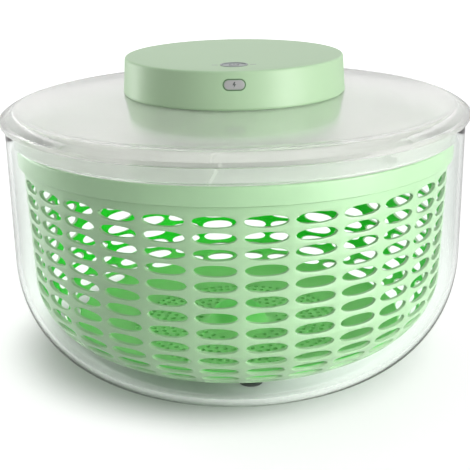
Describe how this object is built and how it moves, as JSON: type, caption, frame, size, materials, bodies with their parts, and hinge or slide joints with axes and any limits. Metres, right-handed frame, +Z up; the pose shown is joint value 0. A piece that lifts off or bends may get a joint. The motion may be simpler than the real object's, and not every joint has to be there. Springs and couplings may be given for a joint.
{
  "type": "salad spinner",
  "caption": "Rechargeable salad spinner: clear round bowl, slotted green basket on a pivot, and a frosted lid with a cordless motor unit, power button and charging port.",
  "frame": {"origin": "centre of the table plane under the bowl's three feet", "axes": "+Z up along the spin axis; -Y towards the charging port and the front; +X to the right seen from the front"},
  "size_m": [0.25, 0.25, 0.171],
  "materials": {
    "clear_plastic": "clear injection-moulded, glossy",
    "frosted_plastic": "translucent, lightly frosted",
    "basket_green": "pale green, satin gloss",
    "housing_green": "pale green, fine satin",
    "white_acetal": "natural white",
    "dark_rubber": "soft, dark",
    "grey_rubber": "soft, light grey",
    "grey_plastic": "satin grey",
    "dark_plastic": "black",
    "board_green": "solder mask",
    "cell_wrap": "shrink wrap",
    "bronze": "sintered bronze",
    "steel": "plain bright steel"
  },
  "bodies": {
    "bowl": {"bowl": "clear_plastic", "foot_pads": "dark_rubber", "pivot_pin": "steel"},
    "basket": {"basket": "basket_green", "pivot_cup": "white_acetal"},
    "lid": {"lid": "frosted_plastic", "cap": "housing_green", "housing_base": "housing_green", "housing_screws": "steel", "gear_plate": "white_acetal", "gear_plate_screws": "steel", "lower_bush": "bronze", "upper_bush": "bronze", "shaft_seal": "dark_rubber", "motor": "steel", "motor_screws": "steel", "battery_cells": "cell_wrap", "battery_tray": "white_acetal", "circuit_board": "board_green", "board_screws": "steel", "tactile_switch": "dark_plastic", "button_ring": "grey_plastic", "indicator_lenses": "grey_plastic", "usb_port": "steel"},
    "output": {"output_shaft": "steel", "drive_gear": "white_acetal", "drive_plate": "frosted_plastic"},
    "rotor": {"motor_shaft": "steel", "motor_pinion": "white_acetal"},
    "button": {"power_button": "grey_plastic", "switch_plunger": "dark_plastic"},
    "port_cover": {"charge_port_cover": "grey_rubber"}
  },
  "joints": [
    {"name": "basket_spin", "type": "hinge", "parent": "bowl", "child": "basket", "pos_m": [0, 0, 0.014], "axis": [0, 0, 1], "continuous": true},
    {"name": "lid_lift", "type": "slide", "parent": "bowl", "child": "lid", "axis": [0, 0, 1], "range_m": [0, 0.15]},
    {"name": "output_spin", "type": "hinge", "parent": "lid", "child": "output", "pos_m": [0, 0, 0.13], "axis": [0, 0, 1], "continuous": true},
    {"name": "rotor_spin", "type": "hinge", "parent": "lid", "child": "rotor", "pos_m": [0, 0.035, 0.138], "axis": [0, 0, 1], "continuous": true},
    {"name": "button_press", "type": "slide", "parent": "lid", "child": "button", "axis": [0, 0, -1], "range_m": [0, 0.0008], "stiffness_N_per_m": 2500},
    {"name": "port_cover_pull", "type": "slide", "parent": "lid", "child": "port_cover", "axis": [0, -1, 0], "range_m": [0, 0.006]}
  ],
  "couplings": [
    {"joint": "output_spin", "follows": "basket_spin", "ratio": 1},
    {"joint": "rotor_spin", "follows": "basket_spin", "ratio": -6}
  ]
}
